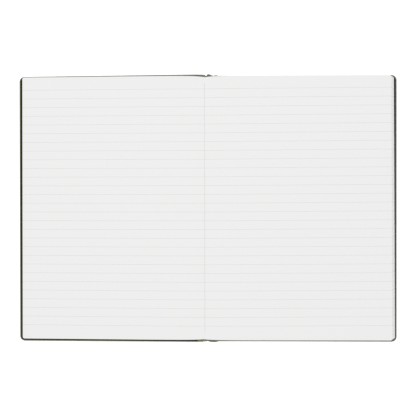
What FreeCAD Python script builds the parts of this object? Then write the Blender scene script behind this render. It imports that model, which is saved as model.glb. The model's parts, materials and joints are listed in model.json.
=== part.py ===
import FreeCAD
import Part

import math
import os

# An A5 ruled notebook in a covered case, lying open near its front: a thin
# stack of leaves on the front cover, the rest of the block on the back cover.
# +X points to the back cover's fore edge, +Y to the head, +Z up.
# All lengths are millimetres and all angles degrees.

# Leaves
leaf_width = 148.7
leaf_height = 210.5
leaf_corner = 1.5
front_stack = 1.6
back_stack = 8.4
# The block leans: its top leaf has slid this far towards the spine
stack_lean = 3.8
# This much of each front leaf turns down into the fold
gutter_bend = 1.8
gutter_round = 1.0
# The block is cased in this much nearer to the head
leaf_lift = 0.65

# Covers: cloth turned in round a board, with an endpaper pasted over it
cloth = 0.4
board = 1.0
turn_in = 12.0
endpaper = 0.15
# Bare cloth left between the endpaper and the cover's edges
endpaper_margin = 1.0
# How far each cover stands out past the leaves that lie on it
back_square = 1.95
front_square = 2.8
head_square = 1.5
cover_corner = 4.0
edge_round = 0.5

# Joints and spine
# From the lowest leaf's bound edge to the back board's inner edge
joint_width = 6.6
# From the lowest leaf's bound edge to the line where the back cover turns
back_hinge_reach = 3.3
# From the fold to the end of the front cover's joint flap
front_flap_reach = 1.15
spine_radius = 4.0
spine_sweep = 115.0
spine_card = 0.6
lining = 0.3
lining_margin = 6.0

# Clearances
ease = 0.2
spine_lift = 0.3

# Points nearer to each other than this count as one
tolerance = 1e-6

# Worked out from the sizes above
cover_thickness = cloth + board + cloth
cover_height = leaf_height + 2 * head_square
cover_width = leaf_width + back_square - joint_width
leaves_low = cover_thickness + endpaper + ease
leaves_top = leaves_low + back_stack
fold_z = leaves_top + ease / 2
bound_x = ease / 2
low_bound_x = bound_x + stack_lean
back_inner_x = low_bound_x + joint_width
back_hinge_x = low_bound_x + back_hinge_reach
back_outer_x = back_inner_x + cover_width
front_leaf_width = leaf_width - gutter_bend
front_outer_x = bound_x + front_leaf_width + front_square
front_inner_x = front_outer_x - cover_width
front_depth = ease / 2 + front_stack + endpaper + cover_thickness
spine_thickness = cloth + spine_card + cloth
spine_outer_radius = spine_radius + spine_thickness / 2
spine_centre_x = low_bound_x - lining
spine_centre_z = spine_lift + spine_outer_radius
spine_low_x = back_hinge_x - ease


def front_tilt():
    """Angle at which the front cover's rounded outer edge just meets the table."""
    reach = front_outer_x - edge_round
    depth = front_depth - edge_round
    span = math.hypot(reach, depth)
    return math.degrees(math.asin((fold_z - edge_round) / span) - math.atan2(depth, reach))


tilt = front_tilt()


def leftmost_x():
    """Outermost point of the tilted front cover, on its upper rounded edge."""
    slope = math.radians(tilt)
    reach = front_outer_x - edge_round
    depth = front_depth - cover_thickness + edge_round
    return -reach * math.cos(slope) + depth * math.sin(slope) - edge_round


# The frame's origin is the middle of the footprint, with the fold off to its left
shift_x = -(leftmost_x() + back_outer_x) / 2


def slab(x_low, x_high, y_half, z_low, z_high):
    """Plain plate, centred across the head-to-tail direction."""
    corner = FreeCAD.Vector(x_low, -y_half, z_low)
    return Part.makeBox(x_high - x_low, 2 * y_half, z_high - z_low, corner)


def rounded_face(x_inner, x_outer, y_half, radius, z, y_mid=0.0):
    """Flat rectangle with square corners at the spine and rounded ones at the fore edge."""
    low = y_mid - y_half
    high = y_mid + y_half
    diagonal = radius * (1 - math.sqrt(0.5))

    def at(x, y):
        return FreeCAD.Vector(x, y, z)

    edges = [
        Part.LineSegment(at(x_inner, low), at(x_outer - radius, low)),
        Part.Arc(
            at(x_outer - radius, low),
            at(x_outer - diagonal, low + diagonal),
            at(x_outer, low + radius),
        ),
        Part.LineSegment(at(x_outer, low + radius), at(x_outer, high - radius)),
        Part.Arc(
            at(x_outer, high - radius),
            at(x_outer - diagonal, high - diagonal),
            at(x_outer - radius, high),
        ),
        Part.LineSegment(at(x_outer - radius, high), at(x_inner, high)),
        Part.LineSegment(at(x_inner, high), at(x_inner, low)),
    ]
    return Part.Face(Part.Wire([edge.toShape() for edge in edges]))


def plate(x_inner, x_outer, y_half, radius, z_low, z_high, y_mid=0.0):
    """Plate with rounded fore-edge corners."""
    face = rounded_face(x_inner, x_outer, y_half, radius, z_low, y_mid)
    return face.extrude(FreeCAD.Vector(0, 0, z_high - z_low))


def straight_edge(solid, x, z):
    """The edge of a solid that runs from head to tail through the given x and z."""

    def is_near(edge):
        return all(math.hypot(vertex.X - x, vertex.Z - z) < tolerance for vertex in edge.Vertexes)

    return [edge for edge in solid.Edges if is_near(edge)]


def rim_edges(solid, x_inner, z_levels):
    """Edges round a plate's fore, head and tail sides, at the given heights."""

    def is_level(edge, z):
        return all(abs(vertex.Z - z) < tolerance for vertex in edge.Vertexes)

    def is_at_spine(edge):
        return all(abs(vertex.X - x_inner) < tolerance for vertex in edge.Vertexes)

    rims = [edge for edge in solid.Edges if any(is_level(edge, z) for z in z_levels)]
    return [edge for edge in rims if not is_at_spine(edge)]


def cover_board(x_inner):
    """Stiff board inside a cover, lying with the cover's outer face at height 0."""
    return plate(
        x_inner,
        x_inner + cover_width - cloth,
        cover_height / 2 - cloth,
        cover_corner - cloth,
        cloth,
        cloth + board,
    )


def cover_window(x_inner, z_high):
    """Space between the turned-in cloth on the inside of a cover, up to a height."""
    return slab(
        x_inner,
        x_inner + cover_width - turn_in,
        cover_height / 2 - turn_in,
        cloth + board,
        z_high,
    )


def cover_cloth(x_inner, flap_end):
    """Cloth over a board, turned in at fore edge, head and tail, with a joint flap."""
    solid = plate(
        x_inner,
        x_inner + cover_width,
        cover_height / 2,
        cover_corner,
        0.0,
        cover_thickness,
    )
    solid = solid.makeFillet(edge_round, rim_edges(solid, x_inner, (0.0, cover_thickness)))
    solid = solid.cut(cover_board(x_inner))
    solid = solid.cut(cover_window(x_inner, cover_thickness))
    flap = slab(flap_end, x_inner, cover_height / 2 - edge_round, 0.0, cloth)
    return solid.fuse(flap).removeSplitter()


def cover_endpaper(x_inner):
    """Endpaper pasted over the turned-in cloth and pressed into the window between it."""
    sheet = plate(
        x_inner,
        x_inner + cover_width - endpaper_margin,
        cover_height / 2 - endpaper_margin,
        cover_corner - endpaper_margin,
        cover_thickness,
        cover_thickness + endpaper,
    )
    return sheet.fuse(cover_window(x_inner, cover_thickness)).removeSplitter()


def rounded_gutter(solid, x, z, stack):
    """A stack of leaves with its top edge at the fold rounded down."""
    radius = min(gutter_round, stack / 2)
    return solid.makeFillet(radius, straight_edge(solid, x, z))


def left_leaves():
    """Leaves on the front cover, built on the right and level, with the fold at x 0."""
    z_low = cover_thickness + endpaper
    solid = plate(
        bound_x,
        bound_x + front_leaf_width,
        leaf_height / 2,
        leaf_corner,
        z_low,
        z_low + front_stack,
        leaf_lift,
    )
    return rounded_gutter(solid, bound_x, z_low + front_stack, front_stack)


def right_leaves():
    """The rest of the block: each leaf lies a little nearer the spine than the one below."""
    face = rounded_face(
        low_bound_x,
        low_bound_x + leaf_width,
        leaf_height / 2,
        leaf_corner,
        leaves_low,
        leaf_lift,
    )
    solid = face.extrude(FreeCAD.Vector(-stack_lean, 0, back_stack))
    return rounded_gutter(solid, bound_x, leaves_top, back_stack)


def block_lining():
    """Strip of lining cloth glued down the bound edge of the block."""
    rise = (back_stack - gutter_round) / back_stack
    y_low = leaf_lift - leaf_height / 2 + lining_margin
    y_high = leaf_lift + leaf_height / 2 - lining_margin
    x_high = low_bound_x
    corners = [
        FreeCAD.Vector(x_high - lining, y_low, leaves_low),
        FreeCAD.Vector(x_high, y_low, leaves_low),
        FreeCAD.Vector(x_high, y_high, leaves_low),
        FreeCAD.Vector(x_high - lining, y_high, leaves_low),
    ]
    face = Part.Face(Part.makePolygon(corners + corners[:1]))
    return face.extrude(FreeCAD.Vector(-stack_lean * rise, 0, back_stack * rise))


def spine_band(inner_radius, outer_radius, y_half):
    """Layer of the spine: flat under the block's bound edge, then bowed up beside it."""
    start = math.radians(270)
    end = math.radians(270 - spine_sweep)

    def on_arc(radius, angle):
        x = spine_centre_x + radius * math.cos(angle)
        z = spine_centre_z + radius * math.sin(angle)
        return FreeCAD.Vector(x, -y_half, z)

    def at_foot(radius):
        return FreeCAD.Vector(spine_low_x, -y_half, spine_centre_z - radius)

    middle = (start + end) / 2
    edges = [
        Part.LineSegment(at_foot(outer_radius), on_arc(outer_radius, start)),
        Part.Arc(*(on_arc(outer_radius, angle) for angle in (start, middle, end))),
        Part.LineSegment(on_arc(outer_radius, end), on_arc(inner_radius, end)),
        Part.Arc(*(on_arc(inner_radius, angle) for angle in (end, middle, start))),
        Part.LineSegment(on_arc(inner_radius, start), at_foot(inner_radius)),
        Part.LineSegment(at_foot(inner_radius), at_foot(outer_radius)),
    ]
    face = Part.Face(Part.Wire([edge.toShape() for edge in edges]))
    return face.extrude(FreeCAD.Vector(0, 2 * y_half, 0))


card_inner_radius = spine_outer_radius - cloth - spine_card
card_outer_radius = spine_outer_radius - cloth


def spine_strip():
    """Flexible card that stiffens the spine."""
    return spine_band(card_inner_radius, card_outer_radius, cover_height / 2 - cloth)


def spine_cloth():
    """Covering over the spine card, turned in over its head and tail."""
    inner_radius = card_inner_radius - cloth
    solid = spine_band(inner_radius, spine_outer_radius, cover_height / 2)
    solid = solid.cut(spine_strip())
    return solid.cut(spine_band(inner_radius, card_inner_radius, cover_height / 2 - turn_in))


def on_front(shape):
    """Turns a piece built level on the right into its place on the tilted front cover."""
    origin = FreeCAD.Vector(0, 0, 0)
    placed = shape.mirror(origin, FreeCAD.Vector(1, 0, 0))
    placed.translate(FreeCAD.Vector(0, 0, fold_z - front_depth))
    placed.rotate(FreeCAD.Vector(0, 0, fold_z), FreeCAD.Vector(0, 1, 0), -tilt)
    return placed


def write(node, shape):
    """Centres a piece on the footprint and saves it as its own node."""
    placed = shape.copy()
    placed.translate(FreeCAD.Vector(shift_x, 0, 0))
    solids = placed.Solids
    assert len(solids) == 1 and solids[0].isValid(), node
    solids[0].exportStep(os.path.join("parts", node + ".step"))


os.makedirs("parts", exist_ok=True)

# Front cover, with the leaves that lie on it
write("front_board", on_front(cover_board(front_inner_x)))
write("front_cover_wrap", on_front(cover_cloth(front_inner_x, front_flap_reach)))
write("front_endpaper", on_front(cover_endpaper(front_inner_x)))
write("left_pages", on_front(left_leaves()))

# Block and spine
write("right_pages", right_leaves())
write("spine_lining", block_lining())
write("spine_card", spine_strip())
write("spine_wrap", spine_cloth())

# Back cover
write("back_board", cover_board(back_inner_x))
write("back_cover_wrap", cover_cloth(back_inner_x, back_hinge_x))
write("back_endpaper", cover_endpaper(back_inner_x))

print("front hinge", shift_x, 0.0, fold_z, "turn", 180 + tilt)
print("back hinge", back_hinge_x + shift_x, 0.0, 0.0)
print("resting face", (back_inner_x + back_outer_x) / 2 + shift_x, 0.0, 0.0)
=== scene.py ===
import json
import math

import bmesh
import bpy
from mathutils import Matrix, Vector


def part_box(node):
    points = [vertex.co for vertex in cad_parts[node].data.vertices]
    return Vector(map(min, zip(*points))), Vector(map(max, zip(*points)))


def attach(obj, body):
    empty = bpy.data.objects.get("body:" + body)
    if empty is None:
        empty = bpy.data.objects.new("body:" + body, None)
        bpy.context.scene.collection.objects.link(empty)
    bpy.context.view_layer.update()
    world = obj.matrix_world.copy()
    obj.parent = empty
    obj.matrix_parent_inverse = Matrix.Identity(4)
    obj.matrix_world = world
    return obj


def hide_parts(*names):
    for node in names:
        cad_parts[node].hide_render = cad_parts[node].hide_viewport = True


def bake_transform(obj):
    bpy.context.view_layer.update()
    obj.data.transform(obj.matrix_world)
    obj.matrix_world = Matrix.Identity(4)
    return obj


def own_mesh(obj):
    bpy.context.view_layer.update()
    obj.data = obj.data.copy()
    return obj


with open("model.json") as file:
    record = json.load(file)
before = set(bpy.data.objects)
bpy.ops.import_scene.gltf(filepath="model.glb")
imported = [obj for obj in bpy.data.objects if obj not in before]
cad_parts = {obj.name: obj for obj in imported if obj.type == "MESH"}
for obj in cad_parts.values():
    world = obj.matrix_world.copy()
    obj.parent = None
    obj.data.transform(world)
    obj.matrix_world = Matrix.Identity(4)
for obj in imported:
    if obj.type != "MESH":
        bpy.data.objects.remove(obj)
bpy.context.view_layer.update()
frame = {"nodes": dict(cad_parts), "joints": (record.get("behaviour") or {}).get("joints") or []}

# Cover coverings
# The case is covered with one sheet of olive, fine-grained imitation leather. It is glued
# over the boards and turned in at the head, tail and fore edges. The front cover hangs
# from the fold between the pages and slopes down to the table.
turns = {joint["name"]: joint for joint in frame["joints"]}
fold_x, _, fold_z = turns["front_cover_turn"]["pos_m"]
back_turn_x = turns["back_cover_turn"]["pos_m"][0]
slope = math.radians(turns["front_cover_turn"]["range_deg"][1] - 180)
front_place = Matrix.Translation((fold_x, 0, fold_z)) @ Matrix.Rotation(-slope, 4, "Y")
front_level = front_place.inverted()


def level_box(node):
    """Lowest and highest corner of a front cover node, measured with the cover laid level."""
    points = [front_level @ vertex.co for vertex in frame["nodes"][node].data.vertices]
    low = Vector(min(point[axis] for point in points) for axis in range(3))
    high = Vector(max(point[axis] for point in points) for axis in range(3))
    return low, high


board_low, board_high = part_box("back_board")
front_board_low, front_board_high = level_box("front_board")
cloth = board_low.z
cover_thickness = board_high.z + cloth
cover_half = board_high.y + cloth
# The front cover's outer face lies this far below the fold
front_depth = cloth - front_board_low.z
turn_in = 0.012
cover_corner = 0.004
edge_round = 0.0005
# Past the board the cloth and its turn-in lie on each other, pressed in from outside
doubled_cloth = 2 * cloth
joint_press = 0.0003
press_width = 0.0012


class Value:
    """A socket of a node tree. Arithmetic on it adds Math nodes."""

    def __init__(self, nodes, socket):
        self.nodes = nodes
        self.socket = socket

    def math(self, operation, *others):
        return self.nodes.math(operation, self, *others)

    def __add__(self, other):
        return self.math("ADD", other)

    __radd__ = __add__

    def __sub__(self, other):
        return self.math("SUBTRACT", other)

    def __rsub__(self, other):
        return self.nodes.math("SUBTRACT", other, self)

    def __mul__(self, other):
        return self.math("MULTIPLY", other)

    __rmul__ = __mul__

    def __truediv__(self, other):
        return self.math("DIVIDE", other)

    def __lt__(self, other):
        return self.math("LESS_THAN", other)


class Nodes:
    """A node tree that is written as expressions."""

    def __init__(self, tree):
        self.tree = tree
        tree.nodes.clear()

    def add(self, kind, settings=None, inputs=None, output=0):
        """Adds a node: its settings, then its sockets' values or links, by name or number."""
        node = self.tree.nodes.new(kind)
        for name, value in (settings or {}).items():
            setattr(node, name, value)
        for key, value in (inputs or {}).items():
            socket = node.inputs[key]
            if isinstance(value, Value):
                self.tree.links.new(value.socket, socket)
            else:
                socket.default_value = value
        return Value(self, node.outputs[output]) if node.outputs else node

    def math(self, operation, *terms):
        return self.add("ShaderNodeMath", {"operation": operation}, dict(enumerate(terms)))

    def place(self, axis):
        """One Object coordinate, in metres."""
        point = self.add("ShaderNodeTexCoord", output="Object")
        return self.add("ShaderNodeSeparateXYZ", inputs={0: point}, output=axis)

    def mix(self, share, low, high):
        """Colour between two colours."""
        settings = {"data_type": "RGBA"}
        return self.add("ShaderNodeMix", settings, {0: share, 6: low, 7: high}, output=2)

    def noise(self, scale, detail=3.0, roughness=0.5):
        point = self.add("ShaderNodeTexCoord", output="Object")
        inputs = {"Vector": point, "Scale": scale, "Detail": detail, "Roughness": roughness}
        return self.add("ShaderNodeTexNoise", inputs=inputs, output="Fac")

    def bump(self, height, distance, strength=1.0):
        inputs = {"Height": height, "Distance": distance, "Strength": strength}
        return self.add("ShaderNodeBump", inputs=inputs)

    def surface(self, **sockets):
        """The principled surface, with socket names written with underscores."""
        inputs = {name.replace("_", " "): value for name, value in sockets.items()}
        shader = self.add("ShaderNodeBsdfPrincipled", inputs=inputs)
        self.add("ShaderNodeOutputMaterial", inputs={"Surface": shader})


def new_material(name):
    material = bpy.data.materials.new(name)
    material.use_nodes = True
    return material, Nodes(material.node_tree)


def olive_cloth():
    """Pebbled imitation leather: rounded grains about half a millimetre across."""
    material, nodes = new_material("olive grained cloth")
    point = nodes.add("ShaderNodeTexCoord", output="Object")
    cells = {"Vector": point, "Scale": 1700.0, "Smoothness": 0.35, "Randomness": 0.9}
    grain = nodes.add("ShaderNodeTexVoronoi", {"feature": "SMOOTH_F1"}, cells, "Distance")
    fine = nodes.noise(5200.0, 2.0)
    broad = nodes.noise(45.0, 4.0)
    height = grain * -0.8 + fine * 0.25
    share = (1 - grain) * 0.7 + broad * 0.5
    colour = nodes.mix(share, (0.108, 0.119, 0.06, 1), (0.168, 0.182, 0.1, 1))
    nodes.surface(
        Base_Color=colour,
        Roughness=grain * 0.16 + 0.5,
        Specular_IOR_Level=0.3,
        Normal=nodes.bump(height, 0.00012, 0.7),
    )
    return material


covering = olive_cloth()


def evenly(low, high, steps):
    """Even steps from low to high, both ends included."""
    return [low + (high - low) * step / steps for step in range(steps + 1)]


def edge_profile(thickness):
    """The turned edge in section: inward distance and height, from inside to outside."""
    radius = min(edge_round, thickness / 2)
    quarter = evenly(0, math.pi / 2, 4)
    inside = [(turn_in, thickness), (turn_in / 2, thickness)]
    upper = [
        (radius - radius * math.sin(angle), thickness - radius + radius * math.cos(angle))
        for angle in quarter
    ]
    lower = [
        (radius - radius * math.cos(angle), radius - radius * math.sin(angle))
        for angle in quarter
    ]
    return inside + upper + lower + [(turn_in / 2, 0.0), (turn_in, 0.0)]


def made_plain(piece):
    """The piece with its modifiers worked into its mesh."""
    evaluated = piece.evaluated_get(bpy.context.evaluated_depsgraph_get())
    mesh = bpy.data.meshes.new_from_object(evaluated)
    piece.modifiers.clear()
    piece.data = mesh
    mesh.polygons.foreach_set("use_smooth", [True] * len(mesh.polygons))
    mesh.set_sharp_from_angle(angle=math.radians(35))
    return piece


def finish_cloth(name, verts, faces):
    """A sheet of cloth with its thickness inwards, dressed in the covering."""
    mesh = bpy.data.meshes.new(name)
    mesh.from_pydata(verts, [], faces)
    shape = bmesh.new()
    shape.from_mesh(mesh)
    bmesh.ops.remove_doubles(shape, verts=shape.verts, dist=1e-6)
    bmesh.ops.dissolve_degenerate(shape, dist=1e-6, edges=shape.edges)
    shape.to_mesh(mesh)
    shape.free()
    piece = bpy.data.objects.new(name, mesh)
    bpy.context.scene.collection.objects.link(piece)
    wall = piece.modifiers.new("wall", "SOLIDIFY")
    wall.thickness = cloth
    wall.offset = -1
    wall.use_even_offset = True
    made_plain(piece)
    piece.data.materials.append(covering)
    return piece


def joint_share(x, start):
    """How far x lies past start towards the joint: 0 to 1 over the pressed width."""
    return min(1.0, max(0.0, (start - x) / press_width))


def cover_sheet(name, joint_x, board_x, fore_x, joint_swell):
    """Covering of one cover, laid level on the right with its outer face at height 0."""
    straight = evenly(joint_x, board_x, 4)
    straight += evenly(board_x, board_x + press_width, 4)[1:]
    straight += evenly(board_x, fore_x - turn_in, 6)[1:]
    straight += [fore_x - cover_corner]
    corner_angles = evenly(-math.pi / 2, 0, 10)[1:]

    def rise(x):
        """How far the covering is pressed in at the joint."""
        share = joint_share(x, board_x + press_width)
        return joint_press * share * share * (3 - 2 * share)

    def thickness(x):
        """Of the whole cover on its board, and of the doubled cloth past it."""
        share = joint_share(x, board_x + press_width / 2)
        return cover_thickness + (doubled_cloth - cover_thickness) * share

    def tail_side(station, inset):
        """A point on the tail edge or round its corner, this far in from the edge."""
        kind, value = station
        if kind == "edge":
            swell = joint_swell * joint_share(value, board_x + press_width / 2)
            return min(value, fore_x - inset), -cover_half - swell + inset
        if inset >= cover_corner:
            return fore_x - inset, -cover_half + inset
        radius = cover_corner - inset
        centre_x = fore_x - cover_corner
        centre_y = -cover_half + cover_corner
        return centre_x + radius * math.cos(value), centre_y + radius * math.sin(value)

    stations = [("edge", x) for x in straight] + [("corner", angle) for angle in corner_angles]
    columns = []
    for station in stations:
        x_here = station[1] if station[0] == "edge" else fore_x
        column = []
        for inset, height in edge_profile(thickness(x_here)):
            x, y = tail_side(station, inset)
            column.append(Vector((x, y, height + rise(x_here))))
        columns.append(column)
    columns += [[Vector((v.x, -v.y, v.z)) for v in column] for column in reversed(columns)]
    count = len(columns[0])
    verts = [v for column in columns for v in column]
    faces = []
    for i in range(len(columns) - 1):
        for j in range(count - 1):
            a = i * count + j
            faces.append((a, a + 1, a + count + 1, a + count))
    # The outer face, across from the tail side to the head side
    for i in range(len(straight) - 1):
        a = i * count + count - 1
        b = (len(columns) - 1 - i) * count + count - 1
        faces.append((a, b, b - count, a + count))
    return finish_cloth(name, verts, faces)


# The back cover's own cloth starts this far past its hinge line, and swells there
joint_gap = 0.0004
back_joint_swell = 0.0005
back_joint_x = back_turn_x + joint_gap
# The back covering stands a little taller than the solid, most of all at its fore edge. Its
# joint end lies nearer the head, but the stretch beside the joint bulges to the tail.
joint_growth, fore_growth = 0.00375, 0.00475
joint_lift = 0.00015
tail_bulge, bulge_reach = 0.0003, 0.005
back_covering = cover_sheet(
    "back_covering", back_joint_x, board_low.x, board_high.x + cloth, back_joint_swell
)
for vertex in back_covering.data.vertices:
    reach = vertex.co.x - back_joint_x
    share = reach / (board_high.x - back_joint_x)
    vertex.co.y *= 1 + joint_growth + (fore_growth - joint_growth) * share
    vertex.co.y += joint_lift * (1 - share)
    vertex.co.y -= tail_bulge * max(0.0, 1 - reach / bulge_reach)
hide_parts("back_cover_wrap")
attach(back_covering, "back_cover")

front_joint_reach = 0.0012
# The front cover lies a little askew: its end at the fold is nearer the head
front_skew = 0.00038
half_turn = Matrix.Rotation(math.pi, 4, "Z")
front_seat = front_place @ Matrix.Translation((0, 0, -front_depth)) @ half_turn
front_covering = cover_sheet(
    "front_covering", front_joint_reach, -front_board_high.x, cloth - front_board_low.x, 0.0
)
front_covering.data.transform(front_seat)
front_fore_x = min(vertex.co.x for vertex in front_covering.data.vertices)
for vertex in front_covering.data.vertices:
    vertex.co.y += front_skew * (vertex.co.x - front_fore_x) / (fold_x - front_fore_x)
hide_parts("front_cover_wrap")
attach(front_covering, "front_cover")

# Spine covering and joints
# Between the covers the sheet runs on over the bowed spine card and bends at a pressed
# joint on each side. The front joint is gathered under the fold while the book is open,
# and covers the leaves' bound edge when it is closed.
spine_low, spine_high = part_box("spine_wrap")
spine_card = 0.0006
spine_thickness = cloth + spine_card + cloth
spine_foot_x = spine_high.x
spine_sweep = math.radians(115)
spine_outer_radius = 0.0047
# Half the height of the cloth in the front joint, which stops short of the covers' ends
gusset_half = 0.1046
spine_centre = Vector((spine_low.x + spine_outer_radius, 0, spine_low.z + spine_outer_radius))
# How far the cloth bulges past the covers' height at the head and tail, by the distance
# from the fold
head_swell = [
    (-0.0003, front_skew),
    (0.0005, 0.0002),
    (0.0012, 0.0002),
    (0.0028, 0.0018),
    (0.0041, 0.0018),
    (0.0053, 0.0013),
    (0.0065, 0.0006),
    (0.0078, 0.0001),
]
tail_swell = [
    (-0.0003, -front_skew),
    (0.0005, 0.0001),
    (0.0028, 0.0001),
    (0.0042, 0.0010),
    (0.0085, 0.0010),
]


def smooth_line(x, line):
    """Height over x of a smooth line through some points."""
    for (x_low, low), (x_high, high) in zip(line, line[1:]):
        if x < x_high:
            share = max(0.0, (x - x_low) / (x_high - x_low))
            return low + (high - low) * share * share * (3 - 2 * share)
    return line[-1][1]


def strip(name, path, thicknesses, half=None):
    """Covering along a section path of points, each with its outward direction. Without a
    half height it follows the covers' height and the bulges."""
    columns = []
    for (point, outward), thickness in zip(path, thicknesses):
        profile = edge_profile(thickness)
        tail_y = -(half or cover_half + smooth_line(point.x - fold_x, tail_swell))
        head_y = half or cover_half + smooth_line(point.x - fold_x, head_swell)
        tail = [
            Vector((point.x, tail_y + inset, point.z)) - outward * height
            for inset, height in profile
        ]
        head = [
            Vector((point.x, head_y - inset, point.z)) - outward * height
            for inset, height in reversed(profile)
        ]
        columns.append(tail + head)
    count = len(columns[0])
    verts = [v for column in columns for v in column]
    faces = []
    for i in range(len(columns) - 1):
        for j in range(count - 1):
            a = i * count + j
            faces.append((a, a + count, a + count + 1, a + 1))
    return finish_cloth(name, verts, faces)


down = Vector((0, 0, -1))
lowest_angle = math.radians(270)
spine_path = [(Vector((spine_foot_x, 0, spine_low.z)), down)]
for angle in evenly(lowest_angle, lowest_angle - spine_sweep, 24):
    outward = Vector((math.cos(angle), 0, math.sin(angle)))
    spine_path.append((spine_centre + outward * spine_outer_radius, outward))
spine_covering = strip("spine_covering", spine_path, [spine_thickness] * len(spine_path))
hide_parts("spine_wrap")
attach(spine_covering, "block")


def joint_path(start, end, hump, steps):
    """A short stretch of cloth between two points, bowed inwards by hump."""
    (first, first_out), (final, final_out) = start, end
    path = []
    for share in evenly(0, 1, steps):
        outward = first_out.lerp(final_out, share).normalized()
        point = first.lerp(final, share) - outward * hump * math.sin(math.pi * share)
        path.append((point, outward))
    return path


front_hump = 0.0002
front_end = front_seat @ Vector((front_joint_reach, 0, joint_press))
front_out = (front_seat.to_3x3() @ down).normalized()
front_path = joint_path(spine_path[-1], (front_end, front_out), front_hump, 24)
front_wide = evenly(spine_thickness, doubled_cloth, 24)
front_joint_cloth = strip("front_joint_cloth", front_path, front_wide, gusset_half)
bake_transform(front_joint_cloth)

# With the cover laid level, this cloth is a quarter oval from just under the fold, past
# the leaves' bound edge, to the cover's joint end
edge_start = Vector((0.00006, 0, -0.0013))
edge_end = Vector((-front_joint_reach, 0, joint_press - front_depth))
span = edge_start - edge_end
edge_path = []
for angle in evenly(0, math.pi / 2, 12):
    across, drop = math.cos(angle), math.sin(angle)
    point = edge_end + Vector((span.x * across, 0, span.z * (1 - drop)))
    outward = Vector((span.z * across, 0, -span.x * drop)).normalized()
    edge_path.append((front_place @ point, front_place.to_3x3() @ outward))
front_edge_cloth = strip("front_edge_cloth", edge_path, [cloth] * len(edge_path), gusset_half)
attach(front_edge_cloth, "front_cover")

# The gusset's line is given for the closed book, where it stands beside the bound edge, at these
# distances from the fold. It is placed lower, down inside the spine by its travel, as in the open
# book
gusset_line = [
    Vector((0.0001, 0, -0.0033)),
    Vector((-0.0002, 0, -0.0024)),
    Vector((-0.0004, 0, -0.0014)),
    Vector((-0.00058, 0, 0.0)),
    Vector((-0.0006, 0, 0.0012)),
    Vector((-0.0006, 0, 0.002)),
    Vector((-0.00055, 0, 0.0026)),
]
gusset_travel = Vector((-0.001, 0, 0.00414))
gusset_path = []
for before, here, after in zip(
    gusset_line[:1] + gusset_line, gusset_line, gusset_line[1:] + gusset_line[-1:]
):
    run = after - before
    point = Vector((fold_x, 0, fold_z)) + here - gusset_travel
    gusset_path.append((point, Vector((-run.z, 0, run.x)).normalized()))
gusset = strip("joint_gusset", gusset_path, [cloth] * len(gusset_path), gusset_half)
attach(gusset, "block")
# The point it would be squashed towards, far along its travel so that it would keep most of its
# length, is worked out here but not used
gusset_keep = 0.96
gusset_middle = gusset_path[2][0].lerp(gusset_path[3][0], 0.5)
tuple(gusset_middle + gusset_travel / (1 - gusset_keep))
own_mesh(gusset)

back_end = Vector((back_joint_x, 0, joint_press))
back_path = joint_path((back_end, down), spine_path[0], 0.0, 10)
back_wide = evenly(doubled_cloth, spine_thickness, 10)
back_joint_cloth = strip("back_joint_cloth", back_path, back_wide)
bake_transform(back_joint_cloth)

# Boards, spine card and lining
# Grey board stiffens the covers and thinner card the spine. A strip of open-weave lining
# is glued down the bound edge of the block.


def grey_board():
    material, nodes = new_material("grey board")
    fibre = nodes.noise(900.0, 5.0)
    colour = nodes.mix(fibre, (0.34, 0.31, 0.26, 1), (0.5, 0.46, 0.38, 1))
    nodes.surface(
        Base_Color=colour, Roughness=0.9, Normal=nodes.bump(fibre, 0.00008, 0.5)
    )
    return material


def lining_weave():
    material, nodes = new_material("lining weave")
    thread_pitch = 0.0009
    per_thread = 2 * math.pi / thread_pitch
    warp = (nodes.place("Y") * per_thread).math("SINE")
    weft = (nodes.place("Z") * per_thread).math("SINE")
    threads = warp.math("MAXIMUM", weft)
    colour = nodes.mix(threads, (0.52, 0.5, 0.45, 1), (0.8, 0.78, 0.72, 1))
    nodes.surface(
        Base_Color=colour, Roughness=0.95, Normal=nodes.bump(threads, 0.0001, 0.6)
    )
    return material


def dress(material, *nodes):
    """Gives a construction node its finish."""
    for node in nodes:
        frame["nodes"][node].data.materials.clear()
        frame["nodes"][node].data.materials.append(material)


dress(grey_board(), "front_board", "back_board", "spine_card")
dress(lining_weave(), "spine_lining")

# Endpapers
# Near-black paper pasted over the turned-in covering. It shows as a thin dark line
# between the pages and the rim of each cover.


def dark_paper():
    material, nodes = new_material("dark endpaper")
    fibre = nodes.noise(1400.0, 4.0)
    colour = nodes.mix(fibre, (0.012, 0.012, 0.01, 1), (0.024, 0.024, 0.02, 1))
    nodes.surface(
        Base_Color=colour,
        Roughness=0.9,
        Specular_IOR_Level=0.12,
        Normal=nodes.bump(fibre, 0.00003, 0.4),
    )
    return material


dress(dark_paper(), "front_endpaper", "back_endpaper")

# Leaves
# Two stacks of white paper, ruled right across in faint grey every 7 mm. Each leaf of the
# right one lies a little nearer the spine than the leaf below. The cut edges stray by
# hundredths of a millimetre, and the stacks dip into the fold.
leaf_thickness = 0.0001
leaf_body = 0.93 * leaf_thickness
leaf_corner = 0.0015
leaf_width = 0.1487
rule_pitch = 0.007
rule_count = 28
rule_width = 0.0002
rule_strength = 0.24
rule_lift = 0.00026
right_low, right_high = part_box("right_pages")
left_low, left_high = level_box("left_pages")
leaf_half = (right_high.y - right_low.y) / 2
leaf_lift = (right_high.y + right_low.y) / 2
right_leaf_drop = 0.00015
# Beside the fold the leaves are drawn in at the head and tail, and they dip into it
head_pull = 0.0011
tail_pull = 0.0006
pull_reach = 0.008
page_dip = 0.00105
dip_reach = 0.007
edge_stray = 0.00004


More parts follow.
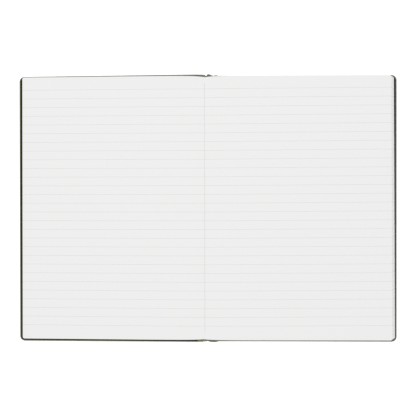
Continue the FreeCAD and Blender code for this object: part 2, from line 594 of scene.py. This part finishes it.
def ruled_paper(name, skew_degrees):
    """White paper with rules across it, printed at a slight skew to the sheet."""
    material, nodes = new_material(name)
    skew = math.tan(math.radians(skew_degrees))
    y = nodes.place("Y") - (leaf_lift + rule_lift) - (nodes.place("X") - fold_x) * skew
    # An even number of rules, so the middle of the page lies between two of them
    distance = ((y / rule_pitch).math("FRACT") - 0.5).math("ABSOLUTE") * rule_pitch
    on_line = distance < rule_width / 2
    in_block = y.math("ABSOLUTE") < rule_pitch * rule_count / 2
    printed = nodes.add("ShaderNodeAttribute", {"attribute_name": "printed"}, output="Fac")
    tone = nodes.add("ShaderNodeAttribute", {"attribute_name": "leaf_tone"}, output="Fac")
    ink = on_line * in_block * printed * (nodes.noise(700.0) * 0.4 + 0.8)
    fibre = nodes.noise(1100.0, 4.0)
    # The cut edges are painted darker: a fixed painted shade for the shade between the leaves, with
    # a random tone per leaf on top
    edge_tone_and_painted_shade = (1 - printed) * (tone * 0.12 + 0.2)
    shade = ink * rule_strength + edge_tone_and_painted_shade + fibre * 0.012
    colour = nodes.mix(shade, (0.862, 0.862, 0.858, 1), (0.0, 0.0, 0.0, 1))
    nodes.surface(
        Base_Color=colour,
        Roughness=0.75,
        Specular_IOR_Level=0.3,
        Normal=nodes.bump(fibre, 0.00002, 0.3),
    )
    return material


def draw_leaf(name, width, skew, head):
    """One leaf: square at the fold, rounded at the fore edge, closed all round. Head is 1
    where the leaf's head is towards +Y and -1 where the leaf is turned round later."""
    # The stations lie closer together where the leaf bends
    bend_end, square_end = 0.03, width - leaf_corner
    stations = [0.0, 0.0004, 0.0009, 0.0015, 0.0022, 0.003, 0.004, 0.0055, 0.0075, 0.01, 0.014, 0.02]
    stations += evenly(bend_end, square_end, 8)
    stations += [square_end + leaf_corner * math.sin(a) for a in evenly(0, math.pi / 2, 5)[1:]]
    rows = [-1.0, -0.97, -0.85, -0.4, 0.0, 0.4, 0.85, 0.97, 1.0]
    verts = []
    for height in (0.0, leaf_body):
        for x in stations:
            into = max(0.0, x - square_end)
            cut = leaf_corner - math.sqrt(max(0.0, leaf_corner**2 - into**2))
            for row in rows:
                y = row * (leaf_half - cut)
                pull = head_pull if row * head > 0 else tail_pull
                y *= 1 - pull * math.exp(-x / pull_reach) / leaf_half
                verts.append((x * (1 - skew * y * head / width), y, height))
    columns, count = len(stations), len(rows)
    layer = columns * count
    faces, printed = [], []
    for i in range(columns - 1):
        for j in range(count - 1):
            a = i * count + j
            faces.append((a, a + 1, a + count + 1, a + count))
            faces.append((layer + a, layer + a + count, layer + a + count + 1, layer + a + 1))
            printed += [1.0, 1.0]
    rim = [i * count for i in range(columns)]
    rim += [(columns - 1) * count + j for j in range(1, count)]
    rim += [i * count + count - 1 for i in reversed(range(columns - 1))]
    rim += [j for j in reversed(range(1, count - 1))]
    for a, b in zip(rim, rim[1:] + rim[:1]):
        faces.append((a, b, layer + b, layer + a))
        printed.append(0.0)
    mesh = bpy.data.meshes.new(name)
    mesh.from_pydata(verts, [], faces)
    mesh.attributes.new("printed", "FLOAT", "FACE").data.foreach_set("value", printed)
    return mesh


def stack_tree():
    """The tree that makes a stack of leaves out of one."""
    tree = bpy.data.node_groups.new("leaf stack", "GeometryNodeTree")
    sockets = [
        ("Leaf", "NodeSocketGeometry"),
        ("Leaves", "NodeSocketInt"),
        ("Height", "NodeSocketFloat"),
        ("Lean", "NodeSocketFloat"),
        ("Stray", "NodeSocketFloat"),
        ("Dip", "NodeSocketFloat"),
        ("Dip reach", "NodeSocketFloat"),
        ("Lowest dip", "NodeSocketFloat"),
        ("Seed", "NodeSocketInt"),
        ("Paper", "NodeSocketMaterial"),
    ]
    for name, kind in sockets:
        tree.interface.new_socket(name, in_out="INPUT", socket_type=kind)
    tree.interface.new_socket("Stack", in_out="OUTPUT", socket_type="NodeSocketGeometry")
    nodes = Nodes(tree)
    given = {name: nodes.add("NodeGroupInput", output=name) for name, _ in sockets}
    first = nodes.add("ShaderNodeCombineXYZ", inputs={"X": given["Lean"]})
    final = nodes.add("ShaderNodeCombineXYZ", inputs={"Z": given["Height"]})
    line = nodes.add(
        "GeometryNodeMeshLine",
        {"mode": "END_POINTS"},
        {"Count": given["Leaves"], "Start Location": first, "Offset": final},
    )
    stack = nodes.add(
        "GeometryNodeInstanceOnPoints", inputs={"Points": line, "Instance": given["Leaf"]}
    )
    stray = nodes.add(
        "FunctionNodeRandomValue",
        {"data_type": "FLOAT_VECTOR"},
        {"Min": (-1, -1, 0), "Max": (1, 1, 0), "Seed": given["Seed"]},
    )
    moved = nodes.add(
        "ShaderNodeVectorMath", {"operation": "SCALE"}, {0: stray, "Scale": given["Stray"]}
    )
    stack = nodes.add(
        "GeometryNodeTranslateInstances", inputs={"Instances": stack, "Translation": moved}
    )
    tone = nodes.add(
        "FunctionNodeRandomValue", {"data_type": "FLOAT"}, {"Seed": given["Seed"] + 1}, output=1
    )
    stack = nodes.add(
        "GeometryNodeStoreNamedAttribute",
        {"data_type": "FLOAT", "domain": "INSTANCE"},
        {"Geometry": stack, "Name": "leaf_tone", "Value": tone},
    )
    stack = nodes.add("GeometryNodeRealizeInstances", inputs={"Geometry": stack})
    point = nodes.add("GeometryNodeInputPosition")
    x = nodes.add("ShaderNodeSeparateXYZ", inputs={0: point}, output="X")
    z = nodes.add("ShaderNodeSeparateXYZ", inputs={0: point}, output="Z")
    level = z / given["Height"]
    share = given["Lowest dip"] + (1 - given["Lowest dip"]) * level
    dip = (x / given["Dip reach"] * -1).math("EXPONENT") * given["Dip"] * share
    offset = nodes.add("ShaderNodeCombineXYZ", inputs={"Z": dip * -1})
    stack = nodes.add("GeometryNodeSetPosition", inputs={"Geometry": stack, "Offset": offset})
    stack = nodes.add(
        "GeometryNodeSetMaterial", inputs={"Geometry": stack, "Material": given["Paper"]}
    )
    nodes.add("NodeGroupOutput", inputs={"Stack": stack})
    return tree


leaf_stack = stack_tree()


def stack_leaves(name, leaf, height, lean, lowest_dip, seed, paper):
    """A stack of leaves with its fold at x 0 and its lowest leaf on height 0."""
    piece = bpy.data.objects.new(name, leaf)
    bpy.context.scene.collection.objects.link(piece)
    stack = piece.modifiers.new("stack", "NODES")
    stack.node_group = leaf_stack
    values = {
        "Leaves": round(height / leaf_thickness),
        "Height": height - leaf_thickness,
        "Lean": lean,
        "Stray": edge_stray,
        "Dip": page_dip,
        "Dip reach": dip_reach,
        "Lowest dip": lowest_dip,
        "Seed": seed,
        "Paper": paper,
    }
    for item in leaf_stack.interface.items_tree:
        if item.in_out == "INPUT" and item.name in values:
            stack[item.identifier] = values[item.name]
    return made_plain(piece)


right_leaves = stack_leaves(
    "right_leaves",
    leaf=draw_leaf("right leaf", leaf_width, skew=0.0043, head=1),
    height=right_high.z - right_low.z,
    lean=right_high.x - leaf_width - fold_x,
    lowest_dip=0.0,
    seed=3,
    paper=ruled_paper("ruled paper, right", skew_degrees=0.3),
)
right_leaves.data.transform(
    Matrix.Translation((fold_x, leaf_lift - right_leaf_drop, right_low.z))
)
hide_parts("right_pages")
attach(right_leaves, "block")

# The left stack is pushed this far up to the right one
fold_closing = 0.00006
left_leaves = stack_leaves(
    "left_leaves",
    leaf=draw_leaf("left leaf", -left_low.x, skew=0.001, head=-1),
    height=left_high.z - left_low.z,
    lean=0.0,
    lowest_dip=0.3,
    seed=11,
    paper=ruled_paper("ruled paper, left", skew_degrees=-0.08),
)
left_leaves.data.transform(
    Matrix.Translation((0, leaf_lift, 0))
    @ front_place
    @ Matrix.Translation((fold_closing, 0, left_low.z))
    @ half_turn
)
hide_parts("left_pages")
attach(left_leaves, "front_cover")

# Table, light and camera
# A white table, soft light from all round with a little more from the upper left, and a
# camera straight above the open pages. A pixel's width on the page sets the lens.
table_half = 3.0
table_top = -0.0001
table_lift = 0.45
sky_strength = 0.62
sides = [(-1, -1), (1, -1), (1, 1), (-1, 1)]
table_corners = [(x * table_half, y * table_half, table_top) for x, y in sides]
table_mesh = bpy.data.meshes.new("table")
table_mesh.from_pydata(table_corners, [], [(0, 1, 2, 3)])
table = bpy.data.objects.new("table", table_mesh)
bpy.context.scene.collection.objects.link(table)


def white_table():
    """White to the camera, but for the soft shadow under the notebook."""
    material, nodes = new_material("white table")
    matt = nodes.add("ShaderNodeBsdfDiffuse", inputs={"Color": (0.9, 0.9, 0.9, 1)})
    glow = {"Color": (1, 1, 1, 1), "Strength": table_lift}
    lift = nodes.add("ShaderNodeEmission", inputs=glow)
    seen = nodes.add("ShaderNodeAddShader", inputs={0: matt, 1: lift})
    camera_ray = nodes.add("ShaderNodeLightPath", output="Is Camera Ray")
    shader = nodes.add("ShaderNodeMixShader", inputs={0: camera_ray, 1: matt, 2: seen})
    nodes.add("ShaderNodeOutputMaterial", inputs={"Surface": shader})
    return material


table_mesh.materials.append(white_table())

world = bpy.data.worlds.new("studio")
bpy.context.scene.world = world
world.use_nodes = True
sky = Nodes(world.node_tree)
camera_ray = sky.add("ShaderNodeLightPath", output="Is Camera Ray")
strength = camera_ray * (1.0 - sky_strength) + sky_strength
backdrop = sky.add("ShaderNodeBackground", inputs={"Color": (1, 1, 1, 1), "Strength": strength})
sky.add("ShaderNodeOutputWorld", inputs={"Surface": backdrop})

lamp_data = bpy.data.lights.new("window", "AREA")
lamp_data.shape = "DISK"
lamp_data.size = 1.4
lamp_data.energy = 17.2
lamp = bpy.data.objects.new("window", lamp_data)
lamp.location = (-0.15, 0.25, 2.0)
lamp.rotation_euler = (-lamp.location).to_track_quat("-Z", "Y").to_euler()
bpy.context.scene.collection.objects.link(lamp)

# The picture is 416 pixels wide, and on the page one pixel spans page_scale metres
frame_width = 416
page_scale = 0.0007952
camera_height = 0.62
camera_x, camera_y = 0.0091, 0.00435
camera_data = bpy.data.cameras.new("camera")
camera_data.sensor_width = 36.0
camera_data.lens = camera_data.sensor_width * camera_height / (frame_width * page_scale)
camera_data.clip_start = 0.01
camera = bpy.data.objects.new("camera", camera_data)
camera_lean = Matrix.Rotation(math.radians(0.8), 4, "Y")
camera_tip = Matrix.Rotation(math.radians(-0.344), 4, "X")
camera_roll = Matrix.Rotation(math.radians(-0.076), 4, "Z")
camera_spot = Matrix.Translation((camera_x, camera_y, right_high.z + camera_height))
camera.matrix_world = camera_spot @ camera_lean @ camera_tip @ camera_roll
bpy.context.scene.collection.objects.link(camera)
bpy.context.scene.camera = camera
bpy.context.scene.view_settings.view_transform = "Standard"
